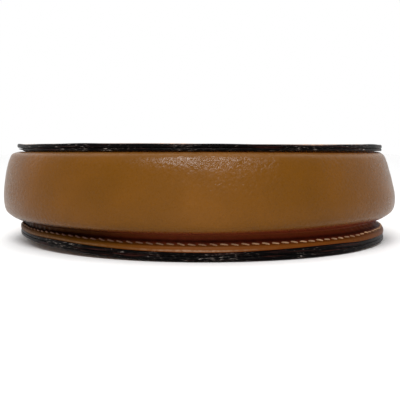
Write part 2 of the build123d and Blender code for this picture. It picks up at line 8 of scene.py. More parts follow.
import bmesh
import bpy
import numpy as np
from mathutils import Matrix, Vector

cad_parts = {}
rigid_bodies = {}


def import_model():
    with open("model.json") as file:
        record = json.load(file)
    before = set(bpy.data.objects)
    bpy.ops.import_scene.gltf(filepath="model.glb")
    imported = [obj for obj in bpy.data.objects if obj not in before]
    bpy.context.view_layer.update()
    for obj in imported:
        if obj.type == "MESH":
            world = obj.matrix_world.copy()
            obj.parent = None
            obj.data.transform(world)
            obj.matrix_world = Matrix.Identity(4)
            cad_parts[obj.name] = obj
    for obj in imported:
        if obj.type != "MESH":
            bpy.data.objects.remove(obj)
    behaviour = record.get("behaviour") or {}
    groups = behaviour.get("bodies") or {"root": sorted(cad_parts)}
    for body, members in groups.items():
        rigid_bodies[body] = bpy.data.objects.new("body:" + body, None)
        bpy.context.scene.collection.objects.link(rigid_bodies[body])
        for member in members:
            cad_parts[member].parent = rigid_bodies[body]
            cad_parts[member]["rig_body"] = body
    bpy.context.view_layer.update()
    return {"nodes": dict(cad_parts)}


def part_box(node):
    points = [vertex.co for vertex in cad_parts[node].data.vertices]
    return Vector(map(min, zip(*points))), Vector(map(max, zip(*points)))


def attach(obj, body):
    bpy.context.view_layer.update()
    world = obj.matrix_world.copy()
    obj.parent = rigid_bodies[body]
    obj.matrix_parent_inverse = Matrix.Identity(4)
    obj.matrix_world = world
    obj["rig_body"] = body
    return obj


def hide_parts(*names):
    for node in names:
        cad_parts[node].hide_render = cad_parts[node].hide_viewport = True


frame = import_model()

MM = 0.001
SCENE = bpy.context.scene
NODES = frame["nodes"]


def node_box(name):
    """Lowest and highest corner of a CAD node, in millimetres."""
    low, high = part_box(name)
    return np.array(low) / MM, np.array(high) / MM


# ---- Sizes read from the frame, with the part's own proportions ----
BACK_HIGH = node_box("back_panel")[1]
STIFF_LOW, STIFF_HIGH = node_box("back_stiffener")
FRONT_LOW, FRONT_HIGH = node_box("front_panel")
RIM = 4.0                         # how far the lips stand outside the seam line
NECK_R = BACK_HIGH[0] - RIM       # radius of the seam line round the round edge
CORNER_R = 14.0                   # top corners
TOP_Y = BACK_HIGH[1] - RIM
SIDE = TOP_Y - CORNER_R           # end of the straight sides
CORNER_X = NECK_R - CORNER_R
Z_FLANGE = STIFF_HIGH[2]
Z_FRONT = FRONT_LOW[2]
Z_TOP = FRONT_HIGH[2]
Z_CEILING = Z_FRONT - 1.2         # under the gusset's top flange
ZIP_BULGE = 1.5                   # swelling of the zipped wall
TAPER = 14.0                      # length of side over which the swelling dies away
LEATHER = 1.4                     # thickness of the wall
STITCH = 4.2                      # from one stitch to the next
FRONT_SEAM = 1.2                  # the front panel's stitches, outside the seam line
ZIP_Z = 22.75                     # height of the zip's chain
STRAP = 2.2                       # thickness of the belt
WIRE_R = 1.6                      # of the rings, hook eyes and buckle
RUNNING = 0.08                    # clearance of a fold round a wire


# ---- Small mesh helpers ----
def shade(mesh, sharp=None):
    """Smooth shading, with edges of more than sharp degrees left crisp."""
    mesh.polygons.foreach_set("use_smooth", [True] * len(mesh.polygons))
    if sharp is not None:
        mesh.set_sharp_from_angle(angle=math.radians(sharp))


def link_mesh(name, mesh, body, replaces=(), sharp=None):
    """A visible piece that rides on a body and takes the place of some CAD nodes."""
    shade(mesh, sharp)
    mesh.update()
    obj = bpy.data.objects.new(name, mesh)
    SCENE.collection.objects.link(obj)
    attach(obj, body)
    if replaces:
        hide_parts(*replaces)
    return obj


def build_mesh(name, points, faces, materials):
    """A mesh from points in millimetres, with its faces turned outwards."""
    mesh = bpy.data.meshes.new(name)
    mesh.from_pydata([tuple(p) for p in np.asarray(points, float) * MM], [], faces)
    mesh.validate()
    bm = bmesh.new()
    bm.from_mesh(mesh)
    bmesh.ops.recalc_face_normals(bm, faces=bm.faces)
    bm.to_mesh(mesh)
    bm.free()
    for m in materials:
        mesh.materials.append(m)
    return mesh


def add_piece(name, points, faces, body, materials, replaces=(), sharp=None):
    return link_mesh(name, build_mesh(name, points, faces, materials), body, replaces,
                     sharp)


def grid_faces(rows, cols, close_rows=False, close_cols=False, start=0):
    """Quads of a grid whose point (row, col) is number start + row * cols + col."""
    faces = []
    for i in range(rows if close_rows else rows - 1):
        here, there = start + i * cols, start + (i + 1) % rows * cols
        for j in range(cols if close_cols else cols - 1):
            k = (j + 1) % cols
            faces.append((here + j, here + k, there + k, there + j))
    return faces


def tube_faces(rings, around, start=0):
    """Grid faces of a tube whose sections are closed rings, with both ends capped."""
    faces = grid_faces(rings, around, close_cols=True, start=start)
    faces.append(tuple(start + k for k in range(around)))
    faces.append(tuple(start + (rings - 1) * around + k for k in reversed(range(around))))
    return faces


def curve_through(points, count):
    """count points evenly along a smooth curve through a short list of points."""
    p = np.asarray(points, float)
    p = np.vstack([2 * p[0] - p[1], p, 2 * p[-1] - p[-2]])
    dense = []
    for i in range(1, len(p) - 2):
        for k in range(24):
            t = k / 24
            dense.append(0.5 * (2 * p[i] + (p[i + 1] - p[i - 1]) * t
                                + (2 * p[i - 1] - 5 * p[i] + 4 * p[i + 1] - p[i + 2]) * t**2
                                + (3 * p[i] - p[i - 1] - 3 * p[i + 1] + p[i + 2]) * t**3))
    dense.append(p[-2])
    return even(np.array(dense), count)


def even(points, count):
    """count points spaced evenly along a polyline."""
    gaps = np.linalg.norm(np.diff(points, axis=0), axis=1)
    run = np.concatenate([[0], np.cumsum(gaps)])
    where = np.linspace(0, run[-1], count)
    return np.stack([np.interp(where, run, points[:, k]) for k in range(points.shape[1])], 1)


def smooth(x, low, high):
    """0 below low, 1 above high, with an S-shaped rise."""
    t = np.clip((np.asarray(x, float) - low) / (high - low), 0, 1)
    return t * t * (3 - 2 * t)


# ---- Materials ----
class Nodes:
    """Short calls for building the node tree of a material or a world."""

    def __init__(self, owner, shader, space):
        owner.use_nodes = True
        self.owner = owner
        self.tree = owner.node_tree
        self.shader = self.tree.nodes[shader]
        self.place = self.put("ShaderNodeTexCoord").outputs[space]

    def plug(self, socket, value):
        if isinstance(value, bpy.types.NodeSocket):
            self.tree.links.new(value, socket)
        else:
            socket.default_value = value

    def fill(self, node, inputs):
        for key, value in inputs.items():
            self.plug(node.inputs[key.replace("_", " ")], value)
        return node

    def put(self, kind, **inputs):
        return self.fill(self.tree.nodes.new(kind), inputs)

    def finish(self, **inputs):
        self.fill(self.shader, inputs)
        return self.owner

    def stretch(self, x, y, z):
        return self.put("ShaderNodeMapping", Vector=self.place, Scale=(x, y, z)).outputs[0]

    def noise(self, scale, detail=3.0, roughness=0.55, distortion=0.0, vector=None):
        node = self.put("ShaderNodeTexNoise", Scale=scale, Detail=detail, Roughness=roughness,
                        Distortion=distortion, Vector=vector or self.place)
        return node.outputs["Fac"]

    def cells(self, scale, feature="F1"):
        node = self.put("ShaderNodeTexVoronoi", Scale=scale, Vector=self.place)
        node.feature = feature
        return node.outputs["Distance"]

    def wave(self, scale, direction):
        node = self.put("ShaderNodeTexWave", Scale=scale, Distortion=0.6, Vector=self.place)
        node.bands_direction = direction
        return node.outputs["Fac"]

    def attribute(self, name):
        node = self.put("ShaderNodeAttribute")
        node.attribute_name = name
        return node.outputs["Fac"]

    def ramp(self, fac, stops):
        node = self.put("ShaderNodeValToRGB", Fac=fac)
        elements = node.color_ramp.elements
        while len(elements) < len(stops):
            elements.new(0.5)
        for element, (place, color) in zip(elements, stops):
            element.position = place
            element.color = color
        return node.outputs["Color"]

    def between(self, fac, low, high, from_low=0.0, from_high=1.0):
        return self.put("ShaderNodeMapRange", Value=fac, From_Min=from_low, From_Max=from_high,
                        To_Min=low, To_Max=high).outputs["Result"]

    def math(self, operation, a, b):
        node = self.put("ShaderNodeMath")
        node.operation = operation
        self.plug(node.inputs[0], a)
        self.plug(node.inputs[1], b)
        return node.outputs[0]

    def mix(self, fac, a, b):
        node = self.put("ShaderNodeMix")
        node.data_type = "RGBA"
        for number, value in ((0, fac), (6, a), (7, b)):
            self.plug(node.inputs[number], value)
        return node.outputs[2]

    def bump(self, height, strength, distance_mm, normal=None):
        node = self.put("ShaderNodeBump", Height=height, Strength=strength,
                        Distance=distance_mm * MM)
        if normal is not None:
            self.plug(node.inputs["Normal"], normal)
        return node.outputs["Normal"]


def new_material(name):
    """Nodes of a new material, with places in millimetres of object space."""
    n = Nodes(bpy.data.materials.new(name), "Principled BSDF", "Object")
    n.place = n.stretch(1 / MM, 1 / MM, 1 / MM)
    return n


def tone(r, g, b):
    """Linear colour of an 8-bit display colour."""
    def linear(c):
        c /= 255
        return c / 12.92 if c <= 0.04045 else ((c + 0.055) / 1.055) ** 2.4
    return (linear(r), linear(g), linear(b), 1.0)


def leather(name, dark, mid, light, roughness=0.28, ior=1.20, folds=False):
    """Full-grain leather: mottled colour, fine cells, pores and soft crinkles.

    With folds it also reads what is painted on its piece: painted shade in the crease, darker
    towards the left, painted highlights and wear on the rims, painted highlights on the gathers,
    and creases."""
    n = new_material(name)
    mottle = n.noise(0.035, 3.0, 0.55, 0.3)
    color = n.ramp(mottle, [(0.32, dark), (0.52, mid), (0.72, light)])
    speck = n.noise(1.3, 5.0, 0.7)
    color = n.mix(n.between(speck, 0.0, 0.5, 0.66, 0.80), color, dark)
    patch = n.between(n.noise(0.06, 2.0), 0.2, 0.8, 0.38, 0.62)
    if folds:
        # Painted shade: the crease under the wall, the lip's strip and the seam groove turn dark
        # red-brown, darker towards the left.
        crease_shade = n.math("MULTIPLY", n.attribute("crease_shade"),
                      n.between(n.noise(0.35, 4.0, 0.6), 0.75, 1.2))
        darker_left = n.mix(n.attribute("darker_left"), tone(93, 34, 20), tone(30, 6, 3))
        color = n.mix(n.between(crease_shade, 0.0, 0.95), color, darker_left)
        color = n.mix(n.between(crease_shade, 0.0, 0.9, 1.0, 1.9), color, tone(26, 4, 2))
        # Painted highlights: pale lines along the top lip, along the lower lip's edge (partly
        # wear) and on the gathers, read from the attribute rim.
        rim_glints = n.math("MULTIPLY", n.attribute("rim"),
                         n.between(n.noise(0.5, 4.0, 0.7), 0.2, 1.0, 0.35, 0.6))
        color = n.mix(rim_glints, color, tone(178, 148, 122))
        patch = n.math("ADD", patch, n.attribute("creased"))
    normal = n.bump(n.cells(0.62, "SMOOTH_F1"), n.math("MULTIPLY", patch, 0.50), 0.40)
    normal = n.bump(n.noise(0.9, 5.0, 0.65, 0.8), n.math("MULTIPLY", patch, 0.55), 0.45, normal)
    normal = n.bump(n.cells(1.6), 0.22, 0.10, normal)
    normal = n.bump(n.noise(5.0, 2.0), 0.22, 0.05, normal)
    rough = n.between(n.noise(0.9, 4.0), roughness - 0.05, roughness + 0.10, 0.3, 0.7)
    if folds:
        rough = n.math("SUBTRACT", rough, n.math("MULTIPLY", n.attribute("creased"), 0.10))
    return n.finish(Base_Color=color, Roughness=rough, Normal=normal, IOR=ior)


def edge_paint():
    """Glossy black edge paint: lumpy, with sparse light specks painted in as glints."""
    n = new_material("edge_black")
    along = n.stretch(0.5, 0.5, 2.6)
    glint_specks = n.noise(0.9, 5.0, 0.72, 0.4, along)
    spread = n.between(n.noise(0.045, 2.0), -0.03, 0.05, 0.4, 0.6)
    # Painted highlights: light grey specks stand for glints on the edge.
    color = n.ramp(n.math("ADD", glint_specks, spread),
                   [(0.0, tone(2, 2, 2)), (0.58, tone(5, 4, 4)), (0.64, tone(58, 50, 46)),
                    (0.72, tone(140, 132, 126))])
    streak = n.noise(0.8, 4.0, 0.6, 0.2, n.stretch(0.07, 0.07, 1.5))
    color = n.mix(n.between(streak, 0.0, 0.7, 0.55, 0.66), color, tone(50, 24, 20))
    lump = n.noise(0.7, 4.0, 0.62, 0.3, along)
    normal = n.bump(n.noise(2.6, 3.0), 0.35, 0.10, n.bump(lump, 0.75, 0.35))
    return n.finish(Base_Color=color, Roughness=n.between(glint_specks, 0.24, 0.45), Normal=normal,
                    IOR=1.09)


def thread_material():
    """Tan thread, dulled by grime in places, and darker towards the left by a weight painted on
    its piece.
    """
    n = new_material("thread_tan")
    fibre = n.noise(4.0, 3.0, 0.6, 0.5)
    grime = n.noise(0.12, 2.0)
    color = n.ramp(fibre, [(0.2, tone(112, 70, 42)), (0.5, tone(190, 146, 106)),
                           (0.8, tone(222, 184, 146))])
    color = n.mix(n.between(grime, 0.0, 0.55, 0.45, 0.62), color, tone(120, 66, 34))
    color = n.mix(n.attribute("darker_left"), color, tone(78, 34, 18))
    return n.finish(Base_Color=color, Roughness=0.62, Normal=n.bump(fibre, 0.6, 0.08))


def metal(name, low, high, rough):
    """Brushed, slightly tarnished metal."""
    n = new_material(name)
    tarnish = n.noise(0.35, 5.0, 0.65, 0.5)
    scratch = n.noise(1.2, 4.0, 0.7, 0.0, n.stretch(0.4, 6.0, 0.4))
    color = n.mix(n.between(tarnish, 0.0, 0.5, 0.42, 0.68), high, low)
    normal = n.bump(scratch, 0.12, 0.05, n.bump(tarnish, 0.15, 0.12))
    roughness = n.between(n.math("ADD", scratch, tarnish), rough - 0.08, rough + 0.14, 0.7, 1.3)
    return n.finish(Base_Color=color, Roughness=roughness, Normal=normal, Metallic=1.0)


def woven(name, warp, weft, pitch):
    """Plain-weave cloth."""
    n = new_material(name)
    a, b, c = (n.wave(pitch, direction) for direction in "XZY")
    weave = n.math("MAXIMUM", n.math("MULTIPLY", a, b), n.math("MULTIPLY", b, c))
    color = n.mix(weave, warp, weft)
    color = n.mix(n.between(n.noise(0.2, 4.0), 0.0, 0.35), color, warp)
    return n.finish(Base_Color=color, Roughness=0.85,
                    Normal=n.bump(n.noise(1.5, 3.0), 0.25, 0.1, n.bump(weave, 0.5, 0.12)))


WALL_TONES = tone(93, 56, 5), tone(98, 59, 6), tone(104, 63, 9)
WALL = leather("leather_tan_wall", *WALL_TONES, folds=True)
CREASE = leather("leather_tan_crease", *WALL_TONES, roughness=0.4, ior=1.08, folds=True)
TAN = leather("leather_tan", tone(107, 63, 10), tone(115, 70, 13), tone(125, 78, 19))
BLACK = edge_paint()
THREAD = thread_material()
BRASS = metal("hardware_brass", tone(132, 98, 52), tone(206, 170, 104), 0.30)
ZIP_METAL = metal("zip_metal", tone(120, 92, 54), tone(196, 164, 106), 0.34)
LINING = woven("lining_cloth", tone(70, 58, 46), tone(104, 90, 72), 0.55)
TAPE = woven("zip_cloth", tone(52, 34, 22), tone(86, 60, 40), 0.9)


# ---- Cutting ----
def cut(obj, points, faces):
    """Cuts a closed shape out of obj and leaves the cut faces black."""
    cutter = bpy.data.objects.new("cutter", build_mesh("cutter", points, faces, [BLACK]))
    SCENE.collection.objects.link(cutter)
    modifier = obj.modifiers.new("cut", "BOOLEAN")
    modifier.operation = "DIFFERENCE"
    modifier.solver = "EXACT"
    modifier.object = cutter
    modifier.material_mode = "TRANSFER"
    depsgraph = bpy.context.evaluated_depsgraph_get()
    mesh = bpy.data.meshes.new_from_object(obj.evaluated_get(depsgraph))
    obj.modifiers.clear()
    obj.data = mesh
    bpy.data.objects.remove(cutter)
    shade(mesh, 50)


def stadium(half_length, half_width, corner):
    """Corner points of a rounded rectangle in a plane."""
    steps = 8
    points = []
    for sx, sz, start in ((1, 1, 0), (-1, 1, 90), (-1, -1, 180), (1, -1, 270)):
        for k in range(steps + 1):
            a = math.radians(start + 90 * k / steps)
            points.append((sx * (half_length - corner) + corner * math.cos(a),
                           sz * (half_width - corner) + corner * math.sin(a)))
    return points


def cut_through(obj, shape, x, z, low, high):
    """Cuts a flat shape, centred on x and z, through obj along Y from low to high."""
    n = len(shape)
    points = [(x + dx, y, z + dz) for y in (low, high) for dx, dz in shape]
    faces = [tuple(range(n)), tuple(range(2 * n - 1, n - 1, -1))]
    faces += [(k, (k + 1) % n, n + (k + 1) % n, n + k) for k in range(n)]
    cut(obj, points, faces)


# ---- Copies of CAD meshes with softened edges ----
def refine(node, materials, bevel, segments=2, edge_axes=(), level=0.75):
    """A new piece from a CAD node's mesh, with rounded edges, replacing the node.

    Faces that look along one of edge_axes get the second material."""
    bm = bmesh.new()
    bm.from_mesh(NODES[node].data)
    bmesh.ops.remove_doubles(bm, verts=bm.verts, dist=1e-6)
    bmesh.ops.dissolve_limit(bm, angle_limit=math.radians(0.8), verts=bm.verts, edges=bm.edges)
    crisp = [e for e in bm.edges
             if len(e.link_faces) == 2 and e.calc_face_angle(0) > math.radians(30)]
    bmesh.ops.bevel(bm, geom=crisp, offset=bevel * MM, offset_type="OFFSET",
                    segments=segments, profile=0.5, affect="EDGES", clamp_overlap=True)
    bmesh.ops.triangulate(bm, faces=[f for f in bm.faces if len(f.verts) > 4])
    bmesh.ops.recalc_face_normals(bm, faces=bm.faces)
    for face in bm.faces:
        along = any(abs(face.normal.dot(Vector(a))) > level for a in edge_axes)
        face.material_index = int(along)
    mesh = bpy.data.meshes.new(node + "_fine")
    bm.to_mesh(mesh)
    bm.free()
    mesh.materials.clear()
    for m in materials:
        mesh.materials.append(m)
    return link_mesh(node + "_fine", mesh, NODES[node]["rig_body"], [node], sharp=40)


# ---- Pouch outline ----
def outline(step):
    """Stations round the pouch: seam point, outward normal, share of the full swelling, bend.

    bend is the angle in degrees round the round edge, negative towards -X."""
    raw = []

    def straight(a, b, normal):
        count = max(1, round(math.dist(a, b) / step))
        for i in range(count):
            t = i / count
            raw.append(((a[0] + (b[0] - a[0]) * t, a[1] + (b[1] - a[1]) * t), normal))

    def arc(centre, radius, start, end):
        count = max(1, round(abs(math.radians(end - start)) * radius / step))
        for i in range(count):
            a = math.radians(start + (end - start) * i / count)
            normal = (math.cos(a), math.sin(a))
            raw.append(((centre[0] + radius * normal[0], centre[1] + radius * normal[1]),
                        normal))

    straight((0, TOP_Y), (CORNER_X, TOP_Y), (0, 1))
    arc((CORNER_X, SIDE), CORNER_R, 90, 0)
    straight((NECK_R, SIDE), (NECK_R, 0), (1, 0))
    arc((0, 0), NECK_R, 0, -180)
    straight((-NECK_R, 0), (-NECK_R, SIDE), (-1, 0))
    arc((-CORNER_X, SIDE), CORNER_R, 180, 90)
    straight((-CORNER_X, TOP_Y), (0, TOP_Y), (0, 1))
    stations = []
    for point, normal in raw:
        fade = min(max(point[1] / TAPER, 0.0), 1.0)
        share = 0.5 + 0.5 * math.cos(math.pi * fade)
        bend = math.degrees(math.atan2(point[0], -point[1]))
        stations.append((np.array(point), np.array(normal), share, bend))
    return stations


def rim_offset(x, y):
    """Distance outwards from the seam line."""
    if y < 0:
        return math.hypot(x, y) - NECK_R
    if y > SIDE and abs(x) > CORNER_X:
        return math.hypot(abs(x) - CORNER_X, y - SIDE) - CORNER_R
    return max(abs(x) - NECK_R, y - TOP_Y)


# The back rim's wear.
LIFT_LEFT, LIFT_RIGHT = 3.6, 0.6  # how far it has curled up at its ends
LEAN = 1.3                        # how far it has crept towards +X
THIN_LEFT = 0.8                   # how far its plies are pressed together at the left end
SWELL_RIGHT = 1.05                # how far they have spread apart right of the middle
WEAR_TOP = 12                     # height above which nothing has moved


def settle(points):
    """The uneven set that wear has given the pouch: its back rim curls up at the left."""
    out = np.array(points, float)
    for p in out.reshape(-1, 3):
        x, y, z = p
        if z > WEAR_TOP:
            continue
        bend = math.degrees(math.atan2(x, -y))
        r = rim_offset(x, y)
        fade = 1 - smooth(y, -28, 36)
        inner = smooth(r, -58, 2)
        low = 1 - smooth(z, 4.5, 10.5)
        lift = LIFT_LEFT * smooth(-bend, -2, 80) + LIFT_RIGHT * smooth(bend, 44, 56)
        rim = fade * smooth(r, -10, 2)
        plies = rim * smooth(z, 0.4, 3.4)
        thin = THIN_LEFT * smooth(-bend, 38, 62) * (1 - smooth(z, 7.5, 10.5))
        swell = SWELL_RIGHT * (smooth(bend, 0, 34) - smooth(bend, 38, 56))
        p[2] += lift * fade * inner * low + plies * (swell * (1 - smooth(z, 4.0, 6.6)) - thin)
        p[0] += LEAN * rim * (1 - smooth(z, 6, 11.5))
    return out


# ---- Gusset and zipped wall ----
# Profiles from the upper to the lower end: distance outwards from the seam line, and height.
PROFILES = {
    "left": [(0.2, 42.45), (3.4, 42.25), (6.2, 41.2), (7.6, 38.7), (8.8, 34.6), (9.7, 29.7),
             (10.3, 24.9), (10.5, 21.0), (10.2, 17.2), (9.4, 14.6), (7.4, 12.7), (5.0, 11.5),
             (2.4, 10.7), (0.7, 10.4)],
    "right": [(0.2, 42.45), (3.0, 42.0), (5.0, 40.4), (6.4, 37.3), (7.4, 34.0), (8.5, 30.3),
              (9.4, 26.6), (10.2, 23.1), (10.5, 20.0), (10.2, 16.8), (9.2, 14.5), (7.2, 12.8),
              (4.4, 11.4), (0.9, 10.7)],
    "front": [(0.2, 42.45), (3.6, 42.2), (6.0, 41.1), (7.4, 38.8), (8.6, 35.0), (9.5, 30.0),
              (10.1, 25.0), (10.4, 20.3), (10.2, 16.4), (9.4, 13.6), (7.8, 11.9), (5.0, 10.9),
              (2.4, 10.5), (0.7, 10.4)],
    "straight": [(0.1, 42.45), (0.5, 41.2), (0.9, 39.0), (1.2, 35.0), (1.4, 30.0), (1.5, 25.0),
                 (1.5, 21.0), (1.45, 18.0), (1.3, 15.5), (1.1, 13.5), (0.8, 12.0), (0.4, 11.2),
                 (0.1, 10.8), (-0.1, 10.4)]}
FLANGE = [(0.35, 9.9), (0.65, 9.2), (1.1, 8.4), (1.6, 7.8), (2.15, 7.3), (2.55, 6.9),
          (2.8, 6.45), (3.15, 6.05), (3.6, 5.7), (3.9, 5.2), (4.02, 4.7), (4.05, 4.2),
          (3.95, 3.75), (3.6, Z_FLANGE), (-LEATHER, Z_FLANGE)]
WALL_POINTS = 64                  # columns of the profile in the wall
CURVES = {key: curve_through(points, WALL_POINTS) for key, points in PROFILES.items()}
FLANGE_CURVE = curve_through(FLANGE, 40)


def top_trim(bend):
    """How far the top flange reaches out at its lower and its upper side."""
    pinch = math.exp(-((bend + 76) / 11) ** 2)
    full = RIM - 0.4
    return full - 3.0 * pinch, full - 0.5 * pinch


def gusset_row(station, run):
    """Outer skin from the top flange down to the lip, then back up inside."""
    point, normal, share, bend = station
    left = smooth(-bend, 5, 70)
    right = smooth(bend, 0, 48)
    rounded = (CURVES["front"] * (1 - left - right) + CURVES["left"] * left
               + CURVES["right"] * right)
    wall = CURVES["straight"] + (rounded - CURVES["straight"]) * share
    height = (wall[:, 1] - 11) / 31
    waviness = 0.16 * math.sin(run / 17 + 1.0) + 0.10 * math.sin(run / 6.3)
    wall[:, 0] += share * waviness * np.sin(np.pi * np.clip(height, 0, 1))

    # Gathers in the lower crease, strongest at both sides of the round edge.
    flange = FLANGE_CURVE.copy()
    gather = math.exp(-((abs(bend) - 60) / 12) ** 2) * share
    gather += 0.25 * share
    phase = run / 0.75 + 1.1 * flange[:, 1] * math.copysign(1, bend)
    zone = np.exp(-((flange[:, 1] - 8.9) / 1.5) ** 2)
    ripple = np.sin(phase) * (0.6 + 0.4 * math.sin(run / 2.1))
    flange[:, 0] += 0.34 * gather * zone * ripple
    low_phase = run / 0.85 + 0.9 * wall[:, 1] * math.copysign(1, bend)
    low_zone = np.exp(-((wall[:, 1] - 11.6) / 1.2) ** 2)
    wall[:, 1] += 0.12 * gather * low_zone * np.sin(low_phase)
    flange[:, 1] += 0.10 * share * math.sin(run / 5.1 + 0.6) * np.exp(
        -((flange[:, 1] - 4.8) / 0.8) ** 2)

    low_reach, high_reach = top_trim(bend)
    top = [(-LEATHER, Z_FRONT), (high_reach, Z_FRONT), (high_reach + 0.12, Z_FRONT - 0.3),
           (low_reach + 0.12, Z_CEILING + 0.3), (low_reach, Z_CEILING + 0.06)]
    inner = wall[::-6] - [LEATHER, 0]
    inner[:, 1] = 11.5 + (inner[:, 1] - 11.5) * 0.95 + 0.4
    profile = np.vstack([top, wall, flange, inner])
    return [(*(point + normal * r), z) for r, z in profile]


def build_rows():
    """The gusset's profile at every station, with the length run so far along the seam."""
    run = 0.0
    rows = []
    last = STATIONS[0][0]
    for station in STATIONS:
        run += math.dist(last, station[0])
        last = station[0]
        rows.append(gusset_row(station, run))
    return settle(np.array(rows))


STATIONS = outline(1.0)
ROWS = build_rows()
TOP_COLS = 5                      # columns of the profile before the wall: the top flange
FLANGE_START = TOP_COLS + WALL_POINTS
FLANGE_END = FLANGE_START + len(FLANGE_CURVE)


def run_of(keep):
    """Numbers of the stations for which keep(point) holds, as one unbroken run."""
    chosen = [i for i, s in enumerate(STATIONS) if keep(s[0])]
    gap = next((k for k in range(1, len(chosen)) if chosen[k] != chosen[k - 1] + 1), None)
    return chosen[gap:] + chosen[:gap] if gap else chosen


def column_weights(cols):
    """Painted crease shade, painted highlight on the top lip, painted highlight and wear on the
    lower lip, creasing and painted highlights on the gathers, for each column of the profile.
    """
    crease_shade, top_lip_highlight, lip_wear_and_highlight, creased, gather_highlight = (np.zeros(cols) for _ in range(5))
    for j in range(WALL_POINTS):
        r, z = CURVES["front"][j]
        # Painted shade in the crease under the wall and just under the top flange.
        low_side = 1 - smooth(z, 10.9, 12.6)
        top_side = 0.55 * smooth(z, 41.9, 42.4)
        crease_shade[TOP_COLS + j] = max(low_side, top_side) if r < 9.6 else 0
        # Painted highlight along the top of the wall.
        top_lip_highlight[TOP_COLS + j] = 0.08 * smooth(z, 40.4, 41.6) * (1 - smooth(z, 41.9, 42.2))
        creased[TOP_COLS + j] = math.exp(-((z - 38.5) / 2.6) ** 2)
    for j, (r, z) in enumerate(FLANGE_CURVE):
        # Painted shade on the lip's strip under the wall's overhang, deepest in the seam groove.
        strip = 0.42 + 0.44 * smooth(z, 6.0, 6.8)
        crease_shade[FLANGE_START + j] = strip + 0.9 * math.exp(-((z - 7.7) / 0.7) ** 2)
        # Painted highlights on the gathers, and a painted highlight with wear along the lip's
        # edge.
        gather_highlight[FLANGE_START + j] = 0.28 * math.exp(-((z - 8.6) / 0.9) ** 2)
        lip_wear_and_highlight[FLANGE_START + j] = 0.9 * math.exp(-((z - 4.2) / 0.24) ** 2)
        # The part under the lip gets the painted shade too.
        if z < 3.7:
            crease_shade[FLANGE_START + j] = 0.8
    return crease_shade, top_lip_highlight, lip_wear_and_highlight, creased, gather_highlight


def station_weights(bend, share):
    """Depth of the painted crease shade (darker to the left), strength of the lower rim's
    painted highlight and wear, and creasing round the pouch's edge.
    """
    shade_depth = 0.55 + share * (0.45 - smooth(bend, -36, -4))
    # Strength of the lower lip's painted highlight and wear, brightest near the middle.
    worn = math.exp(-((bend + 2) / 12) ** 2) + 0.3 * smooth(-bend, 18, 34) * (bend > -90)
    return shade_depth, min(worn, 1.0) * share, math.exp(-((bend - 3) / 14) ** 2)


def paint(obj, key, weights):
    """One number for each point of obj, which its material reads by its key."""
    attribute = obj.data.attributes.new(key, "FLOAT", "POINT")
    attribute.data.foreach_set("value", np.asarray(weights).ravel().astype(np.float32))


def wall_piece(name, numbers, replaces):
    """The pouch's wall along a run of stations, with painted shade in its crease, painted
    highlights and wear on its rims, and its creases painted on it.
    """
    rows = ROWS[numbers]
    n, m = rows.shape[:2]
    obj = add_piece(name, rows.reshape(-1, 3), tube_faces(n, m), "pouch",
                    [WALL, BLACK, CREASE], replaces)
    crease_shade, top_lip_highlight, lip_wear_and_highlight, creased, gather_highlight = column_weights(m)
    shares = np.array([STATIONS[i][2] for i in numbers])
    bends = np.array([STATIONS[i][3] for i in numbers])
    shade_depth, worn, bent = np.array([station_weights(b, f) for b, f in zip(bends, shares)]).T
    least = np.where(np.arange(m) < FLANGE_START, 0.0, 0.55)    # where nothing swells
    # Painted shade of the crease, and its depth round the edge.
    paint(obj, "crease_shade", (least + np.outer(shares, 1 - least)) * crease_shade)
    paint(obj, "darker_left", np.repeat(shade_depth, m))
    # Painted highlights on the gathers and the rims, in the attribute rim.
    gathered = shares * np.exp(-((np.abs(bends) - 58) / 10) ** 2)
    gather_glints = gathered * np.clip(np.sin(np.arange(n) / 0.75 + 1.0), 0, 1)
    paint(obj, "rim", np.add.outer(0.01 * worn, top_lip_highlight) + np.outer(worn, lip_wear_and_highlight)
          + np.outer(gather_glints, gather_highlight))
    paint(obj, "creased", np.outer(bent, creased))
    painted = set(range(1, TOP_COLS))
    creases = {c for c in range(TOP_COLS, FLANGE_END) if c >= FLANGE_START or crease_shade[c] > 0.8}
    for polygon in obj.data.polygons:
        columns = [v % m for v in polygon.vertices]
        if len(columns) == 4 and all(c in painted for c in columns):
            polygon.material_index = 1
        elif len(columns) == 4 and all(c in creases for c in columns):
            polygon.material_index = 2
    return obj


wall_piece("gusset_leather", run_of(lambda p: p[1] <= SIDE + 0.5), ["gusset"])
ZIP_WALL = wall_piece("zip_wall_leather", run_of(lambda p: p[1] > SIDE - 0.5), ["zip_gusset"])


# ---- Panels ----
MIDDLE_Y = -16.0                  # the point that the panels' faces are drawn in towards


